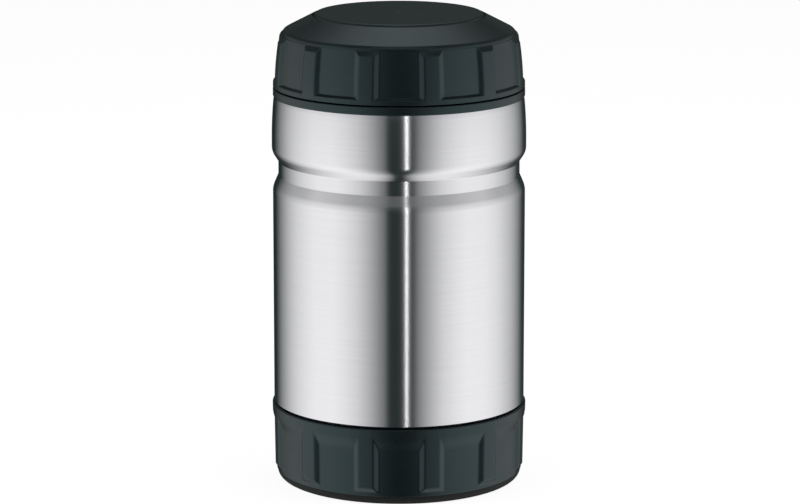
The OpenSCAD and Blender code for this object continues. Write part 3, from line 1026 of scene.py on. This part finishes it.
@dataclass
class BaseCup:
    """The ribbed plastic cup under the steel, and the soft ring that the jar stands on."""

    rim_r: float = 50.75
    rim_z: float = 30.9
    band_z: Point = (22.4, 26.8)
    bars_z: Point = (5.2, 7.0)
    taper: float = 0.3
    taper_z: Point = (3.5, 24.9)
    edge: float = 0.45
    bore: float = 47.3
    floor_z: float = 5.0
    foot_r: float = 48.8
    foot_z: float = 3.5
    foot_in: float = 41.4
    foot_round: float = 3.3
    foot_edge: Points = ((0, 0.4), (0.1, 0.1), (0.4, 0))
    foot_grooves: Point = (42.7, 44.2)
    bars: Bars = Bars()

    def panel_r(self, z: float) -> float:
        """Returns the radius of the panels at a height."""
        share = max(0.0, self.taper_z[1] - z) / (self.taper_z[1] - self.taper_z[0])
        return self.rim_r - SINK - self.taper * share - self.bars.rise

    def lift(self, angle: np.ndarray, z: np.ndarray) -> np.ndarray:
        """Tells how far the side stands over the panels.

        Args:
            angle: Angles round the axis.
            z: Heights.

        Returns:
            The gain in radius at each place.
        """
        band = ramp(z, *self.band_z, 0.3)
        bar = np.minimum(self.bars.bar(angle), ramp(z, *self.bars_z, 0.3))
        return (self.bars.rise - HAIR) * np.maximum(band, bar)

    def cup(self) -> Piece:
        """Makes the cup.

        Returns:
            The piece.
        """
        flank = between(self.bars_z, (-0.35, -0.17, 0, 0.25, 0.5, 0.75, 1, 1.17, 1.35))
        flank += [10, 14, 18, *between(self.band_z, np.linspace(-0.15, 1.15, 14))]
        top = self.rim_r - self.bars.rise
        edge, edge_r = self.edge, self.panel_r(self.foot_z)
        foot = rounded([(0, self.foot_z, 0), (edge_r, self.foot_z, edge), (edge_r, self.foot_z + 1.2, 0)])
        side = foot + [(self.panel_r(z), z) for z in flank]
        rim = arc((top - edge, self.rim_z - edge), edge, 0, 90, 6)
        inside = rounded(
            [
                (self.bore + 0.8, self.rim_z, 0),
                (self.bore, self.rim_z, 0.3),
                (self.bore, self.floor_z, 0.8),
                (0, self.floor_z, 0),
            ]
        )
        rows = turned(side + rim + inside, self.bars.columns(), self.lift, len(side + rim))
        piece = Skin().grid(rows).piece("base_cup", 50)
        return dress(piece, ANTHRACITE, Body.JAR, Slot.DARK_PLASTIC, "base_shell")

    def foot(self) -> Piece:
        """Makes the foot ring, with two fine grooves in its sole.

        Returns:
            The piece.
        """
        sole: Outline = []
        for middle in self.foot_grooves:
            sole += [(middle - 0.3, 0), (middle - 0.2, 0.35), (middle + 0.2, 0.35), (middle + 0.3, 0)]
        outline = [
            (self.foot_in, self.foot_z),
            *[(self.foot_in + out, up) for out, up in self.foot_edge],
            *sole,
            *arc((self.foot_r - self.foot_round, self.foot_round), self.foot_round, -90, 0, 10),
            (self.foot_r, self.foot_z),
        ]
        piece = lathe(outline, 192).piece("foot_pad")
        return dress(piece, FootRubber(), Body.JAR, Slot.FOOT_RUBBER, "foot_ring")

    def build(self) -> list[Piece]:
        """Makes the cup and the foot ring and returns them."""
        return [self.cup(), self.foot()]


@dataclass
class ScrewLid:
    """The lid: ribbed cover, plate let into its top, smooth bowl inside and foam between them."""

    rim_r: float = 49.8
    rim_z: float = 158.5
    rim_round: float = 0.35
    bead_z: Point = (160.55, 161.25)
    taper_z: Point = (161.5, 179.1)
    taper: float = 1.65
    cap_z: Point = (177.2, 179.0)
    wall: float = 1.55
    bore: float = 46.8
    ledge_z: float = 170.3
    dome_r: float = 46.25
    dome_round: float = 2.6
    dome_sink: float = 0.4
    cone: tuple[Point, Point] = ((34.1, 186.6), (33.8, 185.6))
    seat_t: float = 1.35
    seat_r: float = 34.9
    top_z: float = 187.4
    plate_r: float = 33.6
    plate_edge: float = 1.5
    dimple: Points = ((1.1, 0), (0.85, -0.05), (0.7, -0.2), (0.35, -0.26), (0, -0.22))
    bowl_z: Point = (178.4, 179.7)
    bowl_round: float = 4.5
    bowl_gap: float = 0.4
    bars: Bars = Bars()
    lugs: Thread = Thread(wall=46.8, crest=45.7, height=160.083, span=60, lag=30)

    def bar_r(self, z: float) -> float:
        """Returns the radius of the bars at a height."""
        share = max(0.0, (z - self.taper_z[0]) / (self.taper_z[1] - self.taper_z[0]))
        return self.rim_r - SINK - self.taper * share**1.7

    def hollow_r(self, z: float) -> float:
        """Returns the radius of the cover's hollow at a height."""
        return self.bar_r(z) - self.bars.rise - self.wall

    def lift(self, angle: np.ndarray, z: np.ndarray) -> np.ndarray:
        """Tells how far the side stands over the panels.

        Args:
            angle: Angles round the axis.
            z: Heights.

        Returns:
            The gain in radius at each place.
        """
        bead = 1 - ramp(z, *self.bead_z, 0.3)
        bar = np.minimum(self.bars.bar(angle), 1 - ramp(z, *self.cap_z, 0.15))
        return self.bars.rise * np.maximum(bead, bar)

    def cover(self) -> Piece:
        """Makes the ribbed cover with the lugs inside its rim.

        Returns:
            The piece.
        """
        rise, edge = self.bars.rise, self.rim_round
        heights = [self.rim_z + edge, 159.6, *between(self.bead_z, np.linspace(-0.3, 1.3, 9))]
        heights += [163, 166, 169, 172, 174.5, 176.5]
        heights += between(self.cap_z, (-0.17, -0.08, 0, 0.1, 0.3, 0.5, 0.7, 0.9, 1, 1.06))
        rim = arc((self.rim_r - edge - rise, self.rim_z + edge), edge, -90, -15, 4)
        side = rim + [(self.bar_r(z) - rise, z) for z in heights]
        ledge = self.taper_z[1]
        (cone_r, cone_z), (seat_r, seat_z) = self.cone
        start = math.degrees(math.asin(self.dome_sink / self.dome_round))
        dome = [
            *arc((self.dome_r - self.dome_round, ledge - self.dome_sink), self.dome_round, start, 62, 12),
            (cone_r + 0.35, cone_z - 0.15),
            (cone_r, cone_z - 0.08),
            (seat_r, cone_z - 0.5),
            (seat_r, seat_z),
            (0, seat_z),
        ]
        inside = [
            (0, seat_z - self.seat_t),
            (self.seat_r, seat_z - self.seat_t),
            (self.hollow_r(ledge) - 1.6, ledge + 1.1),
            *[(self.hollow_r(z), z) for z in (ledge, (ledge + self.ledge_z) / 2, self.ledge_z)],
            (self.bore, self.ledge_z),
            (self.bore, self.rim_z + 0.3),
            (self.bore + 0.3, self.rim_z),
        ]
        skin = Skin().grid(turned(side + dome + inside, self.bars.columns(), self.lift, len(side)))
        self.lugs.cut(skin)
        return dress(skin.piece("lid_cover", 50), ANTHRACITE, Body.LID, Slot.DARK_PLASTIC, "lid_shell")

    def plate(self) -> Piece:
        """Makes the round plate in the top, with the small dimple of its gate.

        Returns:
            The piece.
        """
        low, high, r, edge = self.cone[1][1], self.top_z - HAIR, self.plate_r, self.plate_edge
        outline = [
            (0, low),
            (r - 0.2, low),
            (r, low + 0.2),
            *arc((r - edge, high - edge), edge, 0, 90, 10),
            (r - 6, high),
            *[(out, high + up) for out, up in self.dimple],
        ]
        piece = lathe(outline, 192).piece("lid_top_plate")
        return dress(piece, LID_PLATE, Body.LID, Slot.DARK_PLASTIC, "lid_disc")

    def bowl(self) -> Piece:
        """Makes the smooth bowl inside the lid.

        Returns:
            The piece.
        """
        low_r, top_r = (self.hollow_r(z) - self.bowl_gap for z in (self.ledge_z, self.taper_z[1]))
        ceiling, top = self.bowl_z
        wall, corner = top - ceiling, self.bowl_round
        rim_r, rim_z = self.bore - 0.2, self.ledge_z - 1.3
        centre = (top_r - corner, top - corner)
        rim = [(low_r - wall, rim_z + 0.5, 0), (low_r - wall, rim_z, 0.35), (rim_r, rim_z, 0.35)]
        rim += [(rim_r, self.ledge_z, 0.2), (low_r, self.ledge_z, 0)]
        outline = [
            *rounded(rim),
            *arc(centre, corner, 0, 90, 8),
            (0, top),
            (0, ceiling),
            *arc(centre, corner - wall, 90, 0, 8),
        ]
        piece = lathe(outline, 192).piece("lid_bowl")
        return dress(piece, LINER_GREY, Body.LID, Slot.LINER_PLASTIC, "lid_liner")

    def build(self, nodes: Nodes) -> list[Piece]:
        """Makes the lid's pieces and dresses its foam.

        Args:
            nodes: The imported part's nodes.

        Returns:
            The pieces.
        """
        return [self.cover(), self.plate(), self.bowl(), carry(nodes, "lid_foam", InsulatingFoam())]


@dataclass
class ScrewStopper:
    """The insulated stopper with its grip, gasket and foam."""

    gasket_r: Point = (40.45, 43.2)
    gasket_z: Point = (168.7, 169.7)
    edge: float = 0.25

    def gasket(self) -> Piece:
        """Makes the soft ring under the flange.

        Returns:
            The piece.
        """
        (inner, outer), (low, high) = self.gasket_r, self.gasket_z
        start = (inner + 0.6, low, 0)
        corners = [start, (outer, low, 0.35), (outer, high, 0.3), (inner, high, 0.3), (inner, low, 0.35)]
        corners.append(start)
        piece = lathe(rounded(corners)[:-1], 160).piece("stopper_seal_ring")
        return dress(piece, Silicone(), Body.STOPPER, Slot.SILICONE, "stopper_gasket")

    def build(self, nodes: Nodes) -> list[Piece]:
        """Makes the gasket and dresses the plug, the grip and the foam.

        Args:
            nodes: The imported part's nodes.

        Returns:
            The pieces.
        """
        hard = [carry(nodes, name, STOPPER_GREY) for name in ("stopper_body", "stopper_cap")]
        for node in hard:
            soften(node, self.edge)
        return [*hard, self.gasket(), carry(nodes, "stopper_foam", InsulatingFoam())]


@dataclass
class ReleaseValve:
    """The push button with its rod, sealing disc and spring."""

    button_r: float = 6.0
    button_z: Point = (168.5, 173.4)
    button_round: float = 0.7
    dish: float = 0.8
    dish_r: float = 20.0
    dish_edge: float = 5.05
    stem_r: float = 1.5
    stem_z: float = 140.4
    head_r: float = 3.0
    head_t: float = 0.6
    seal_r: float = 6.0
    seal_z: Point = (141.0, 142.9)
    coil_r: float = 4.0
    wire: float = 0.7
    coil_z: Point = (162.45, 168.45)
    turns: float = 4.0
    turn_steps: int = 28
    closed: float = 0.75
    seat_gap: float = 0.05
    travel: float = 2.5

    def button(self) -> Piece:
        """Makes the dished button.

        Returns:
            The piece.
        """
        (low, high), edge = self.button_z, self.button_round
        middle = high + self.dish_r - self.dish
        reach = np.linspace(self.dish_edge, 0, 12)
        outline = [
            (0, low),
            (self.button_r - 0.2, low),
            (self.button_r, low + 0.2),
            *arc((self.button_r - edge, high - edge), edge, 0, 85, 6),
            *[(r, middle - math.sqrt(self.dish_r**2 - r * r)) for r in reach],
        ]
        piece = lathe(outline, 96).piece("release_button")
        return dress(piece, BUTTON_GREY, Body.VALVE, Slot.BUTTON_PLASTIC, "valve_button")

    def rod(self) -> Piece:
        """Makes the rod with its riveted head.

        Returns:
            The piece.
        """
        low, head, high = self.stem_z, self.stem_z + self.head_t, self.button_z[0]
        corners = [(0, low, 0), (self.head_r, low, 0.35), (self.head_r, head, 0.15)]
        corners += [(self.stem_r, head, 0), (self.stem_r, high, 0), (0, high, 0)]
        piece = lathe(rounded(corners), 64).piece("release_rod")
        return dress(piece, VESSEL_STEEL, Body.VALVE, Slot.PLAIN_STEEL, "valve_stem")

    def disc(self) -> Piece:
        """Makes the sealing disc under the plug, with a thin lip round its top.

        Returns:
            The piece.
        """
        (low, high), r, bore = self.seal_z, self.seal_r, self.stem_r + 0.05
        corners = [(bore, low + 0.6, 0), (bore, low, 0.1), (r - 0.4, low, 0.5), (r, low + 0.9, 0.4)]
        corners += [(r, high, 0.2), (r - 0.7, high, 0.1), (r - 1.0, high - 0.2, 0.1), (bore, high - 0.2, 0)]
        piece = lathe(rounded(corners), 96).piece("release_seal")
        return dress(piece, Silicone(), Body.VALVE, Slot.SILICONE, "valve_seal")

    def spring(self) -> Piece:
        """Makes the coil spring, with closed end turns.

        Returns:
            The piece.
        """
        low, high = self.coil_z
        wire, close = self.wire, self.closed
        steps = int(self.turns * self.turn_steps)
        pitch = (high - low - wire - 2 * close * wire) / (self.turns - 2 * close)
        section = np.radians(even(10))
        r = self.coil_r + wire / 2 * np.cos(section)
        rows = []
        height = low + wire / 2
        for i in range(steps + 1):
            turn = self.turns * i / steps
            if i:
                climb = wire if turn < close or turn > self.turns - close else pitch
                height += climb * self.turns / steps
            z = min(height, high - wire / 2) + wire / 2 * np.sin(section)
            angle = 2 * math.pi * turn
            rows.append(np.stack([r * math.cos(angle), r * math.sin(angle), z], axis=1))
        piece = Skin().grid(np.array(rows), Ends.CAPPED).piece("release_spring", 60)
        dress(piece, SpringWire(), Body.STOPPER, Slot.SPRING_STEEL, "valve_spring")
        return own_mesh(piece)

    def build(self) -> list[Piece]:
        """Makes the valve's pieces and returns them."""
        return [self.button(), self.rod(), self.disc(), self.spring()]


# ---------------------------------------------------------------- studio


@dataclass(frozen=True)
class Softbox:
    """A large lamp that points at the jar. Flags may keep its light off all pieces but one."""

    name: str
    azimuth: float
    elevation: float
    distance: float
    size: Point
    power: float
    only: str = ""


@dataclass
class Studio:
    """Pale floor, soft lamps, a tent that metal and plastic mirror, and the camera.

    Each tent profile lists an angle and the brightness there. Angles round the tent start at the
    front and angles up start level with the jar's middle.
    """

    aim: Vector = field(default_factory=lambda: Vector((0, 0, 0.095)))
    camera_at: Triple = (0.0004, -1.473, 0.4042)
    pitch: float = 77.999
    lens: float = 170.1
    floor_half: float = 6.0
    floor_glow: float = 0.93
    backdrop_lamp: float = 0.5
    softboxes: tuple[Softbox, ...] = (
        Softbox("left", -62, 28, 1.1, (0.9, 0.9), 7.0),
        Softbox("right", 66, 30, 1.1, (0.9, 0.9), 7.0),
        Softbox("over", 170, 66, 1.2, (1.0, 1.0), 8.0),
        Softbox("strip", 6.9, 7, 2.5, (0.07, 2.6), 2.5, only="steel_jacket"),
    )
    tent_r: float = 3000
    tent_z: float = 95
    tent_scale: float = 1.42
    tent_cloth: tuple[str, float] = ("#4C8580", 0.07)
    tent_sides: Points = (
        *((-180, 0.01), (-152, 0.01), (-144, 0.1), (-128, 0.38), (-117, 0.6), (-107, 0.76), (-95, 0.89)),
        *((-83, 0.99), (-62, 1.0), (-50, 0.9), (-38, 0.74), (-27, 0.5), (-21, 0.36), (-17.5, 0.26)),
        *((-13.5, 0.19), (-11.8, 0.12), (-10.2, 0.04), (-8.5, 0.015), (10.5, 0.012), (12.5, 0.03)),
        *((15, 0.12), (17, 0.2), (20.5, 0.3), (29, 0.5), (40, 0.75), (52, 0.9), (65, 1.0), (85, 0.98)),
        *((101, 0.85), (121, 0.57), (145, 0.13), (152, 0.02)),
    )
    tent_belt: Points = ((-90, 1), (-14, 1), (-5, 0.88), (14, 0.7), (24, 0.35), (34, 0.12), (60, 0))
    tent_front: Points = ((-108, 0), (-88, 1), (88, 1), (108, 0))
    tent_screen: Points = ((8, 0), (14, 0.12), (24, 0.27), (34, 0.28), (44, 0.2), (54, 0))
    tent_back: Points = (
        *((-180, 1), (-162, 0.95), (-135, 0.4), (-105, 0.05), (-52, 0.05), (-36, 0.5)),
        *((36, 0.5), (52, 0.05), (105, 0.05), (135, 0.4), (162, 0.95), (180, 1)),
    )
    tent_roof: Points = (
        *((2, 0), (9, 0.04), (28, 0.04), (41, 0.2), (52, 0.6), (61, 0.97), (75, 0.85), (90, 0.35)),
    )

    def floor(self) -> None:
        """Lays the floor, which shows white and keeps the jar's soft shadow."""
        half = self.floor_half
        mesh = bpy.data.meshes.new("floor")
        corners = [(-half, -half, 0), (half, -half, 0), (half, half, 0), (-half, half, 0)]
        mesh.from_pydata(corners, [], [(0, 1, 2, 3)])
        paper = bpy.data.materials.new("paper_sweep_white")
        tree = blank(paper)
        matt = add(tree, "ShaderNodeBsdfDiffuse", {"Color": linear("#F6F6F6")})
        glow = add(tree, "ShaderNodeEmission", {"Color": linear("#FFFFFF"), "Strength": 1.0})
        share = add(tree, "ShaderNodeMath", {0: self.seen(tree), 1: self.floor_glow}, operation="MULTIPLY")
        mixed = {0: share.outputs[0], 1: matt.outputs[0], 2: glow.outputs[0]}
        both = add(tree, "ShaderNodeMixShader", mixed)
        add(tree, "ShaderNodeOutputMaterial", {"Surface": both.outputs[0]})
        mesh.materials.append(paper)
        made = stand("floor", mesh)
        made.visible_glossy = False

    def seen(self, tree: Tree) -> Socket:
        """Adds a factor that is 1 for what is looked at, directly, in a mirror or through glass.

        Args:
            tree: Node tree that gets the factor.

        Returns:
            The factor's socket.
        """
        path = add(tree, "ShaderNodeLightPath").outputs
        factor = path["Is Camera Ray"]
        for ray in ("Is Glossy Ray", "Is Transmission Ray"):
            factor = add(tree, "ShaderNodeMath", {0: factor, 1: path[ray]}, operation="MAXIMUM").outputs[0]
        return factor

    def world(self) -> None:
        """Makes the backdrop white to the eye and dim as a lamp."""
        world = bpy.data.worlds.new("studio")
        bpy.context.scene.world = world
        tree = blank(world)
        dim, white = (
            add(tree, "ShaderNodeBackground", {"Color": linear("#FFFFFF"), "Strength": strength})
            for strength in (self.backdrop_lamp, 1.0)
        )
        mixed = {0: self.seen(tree), 1: dim.outputs[0], 2: white.outputs[0]}
        both = add(tree, "ShaderNodeMixShader", mixed)
        add(tree, "ShaderNodeOutputWorld", {"Surface": both.outputs[0]})

    def profile(self, tree: Tree, angle: Socket, half: float, stops: Sequence[Point]) -> Socket:
        """Adds a brightness profile over an angle.

        Args:
            tree: Node tree that gets the profile.
            angle: Socket with the angle in radians.
            half: The profile runs from minus to plus this many degrees.
            stops: Angle and brightness of each stop.

        Returns:
            The brightness socket.
        """
        reach = {"From Min": -math.radians(half), "From Max": math.radians(half)}
        share = add(tree, "ShaderNodeMapRange", {"Value": angle, **reach, "To Min": 0.0, "To Max": 1.0})
        ramped = add(tree, "ShaderNodeValToRGB", {"Fac": share.outputs[0]})
        elements = ramped.color_ramp.elements
        while len(elements) < len(stops):
            elements.new(0.5)
        for element, (degrees, _) in zip(elements, stops):
            element.position = (degrees + half) / (2 * half)
        for element, (_, value) in zip(elements, stops):
            element.color = (value, value, value, 1)
        return ramped.outputs["Color"]

    def tent_light(self, tree: Tree) -> Socket:
        """Adds the brightness of the tent at each place.

        Args:
            tree: Node tree of the tent's cloth.

        Returns:
            The brightness socket.
        """
        place = add(tree, "ShaderNodeTexCoord").outputs["Object"]
        x, y, z = add(tree, "ShaderNodeSeparateXYZ", {0: place}).outputs
        kind = "ShaderNodeMath"
        ahead = add(tree, kind, {0: y, 1: -1.0}, operation="MULTIPLY").outputs[0]
        azimuth = add(tree, kind, {0: x, 1: ahead}, operation="ARCTAN2").outputs[0]
        up = add(tree, kind, {0: z, 1: -self.tent_z * MM}, operation="ADD").outputs[0]
        sine = add(tree, kind, {0: up, 1: self.tent_r * MM}, operation="DIVIDE").outputs[0]
        height = add(tree, kind, {0: sine}, operation="ARCSINE").outputs[0]
        sides, front, back = (
            self.profile(tree, azimuth, 180, stops)
            for stops in (self.tent_sides, self.tent_front, self.tent_back)
        )
        belt, screen, roof = (
            self.profile(tree, height, 90, stops)
            for stops in (self.tent_belt, self.tent_screen, self.tent_roof)
        )
        fill = add(tree, kind, {0: front, 1: screen}, operation="MULTIPLY").outputs[0]
        lit = add(tree, kind, {0: belt, 1: fill}, operation="ADD").outputs[0]
        walls = add(tree, kind, {0: sides, 1: lit}, operation="MULTIPLY").outputs[0]
        top = add(tree, kind, {0: roof, 1: back}, operation="MULTIPLY").outputs[0]
        total = add(tree, kind, {0: walls, 1: top}, operation="ADD").outputs[0]
        return add(tree, kind, {0: total, 1: self.tent_scale}, operation="MULTIPLY").outputs[0]

    def tent(self) -> None:
        """Hangs the light tent, which only mirroring surfaces see.

        It has bright sides, a dark middle in front and behind, and a roof that is lit behind.
        """
        angles = np.radians(np.linspace(-90, 90, 49))
        outline = [(self.tent_r * math.cos(a), self.tent_r * math.sin(a) + self.tent_z) for a in angles]
        outline[0], outline[-1] = (0.0, outline[0][1]), (0.0, outline[-1][1])
        made = lathe(outline, 96).piece("light_tent")
        made.modifiers.clear()
        cloth = bpy.data.materials.new("tent_cloth_lit")
        tree = blank(cloth)
        colour, strength = self.tent_cloth
        light = self.tent_light(tree)
        glow = add(tree, "ShaderNodeEmission", {"Color": linear("#FFFFFF"), "Strength": light})
        shade = add(tree, "ShaderNodeEmission", {"Color": linear(colour), "Strength": strength})
        cloths = add(tree, "ShaderNodeAddShader", {0: glow.outputs[0], 1: shade.outputs[0]})
        add(tree, "ShaderNodeOutputMaterial", {"Surface": cloths.outputs[0]})
        made.data.materials.append(cloth)
        for rays in ("camera", "diffuse", "transmission", "shadow", "volume_scatter"):
            setattr(made, f"visible_{rays}", False)

    def lamps(self) -> None:
        """Sets up the softboxes."""
        for box in self.softboxes:
            data = bpy.data.lights.new(box.name, "AREA")
            data.shape = "RECTANGLE"
            data.size, data.size_y = box.size
            data.energy = box.power
            made = stand(box.name, data)
            turn, rise = math.radians(box.azimuth), math.radians(box.elevation)
            level = math.cos(rise)
            away = Vector((math.sin(turn) * level, -math.cos(turn) * level, math.sin(rise)))
            made.location = self.aim + away * box.distance
            made.rotation_euler = away.to_track_quat("Z", "Y").to_euler()
            made.visible_camera = False
            if box.only:
                lit = bpy.data.collections.new(box.name)
                lit.objects.link(bpy.data.objects[box.only])
                made.light_linking.receiver_collection = lit
                made.light_linking.blocker_collection = lit
            else:
                made.visible_glossy = False

    def camera(self) -> None:
        """Sets up the camera, a long lens that looks slightly down."""
        data = bpy.data.cameras.new("camera")
        data.lens = self.lens
        data.sensor_width = 36.0
        data.clip_start, data.clip_end = 0.05, 50.0
        made = stand("camera", data)
        made.location = self.camera_at
        made.rotation_euler = (math.radians(self.pitch), 0, 0)
        bpy.context.scene.camera = made

    def build(self) -> None:
        """Sets up the floor, the tent, the world, the lamps and the camera."""
        self.floor()
        self.tent()
        self.world()
        self.lamps()
        self.camera()
        bpy.context.scene.view_settings.view_transform = "Standard"


def main() -> None:
    """Builds the jar's pieces and the studio."""
    logging.basicConfig(level=logging.INFO, format="%(name)s: %(message)s")
    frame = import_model()
    nodes = frame["nodes"]
    pieces = SteelBody().build(nodes)
    pieces += NeckCollar().build(nodes)
    pieces += BaseCup().build()
    pieces += ScrewLid().build(nodes)
    pieces += ScrewStopper().build(nodes)
    pieces += ReleaseValve().build()
    for piece in pieces:
        LOG.info("%s: %d faces, %s", piece.name, len(piece.data.polygons), piece.active_material.name)
    Studio().build()


if __name__ == "__main__":
    main()
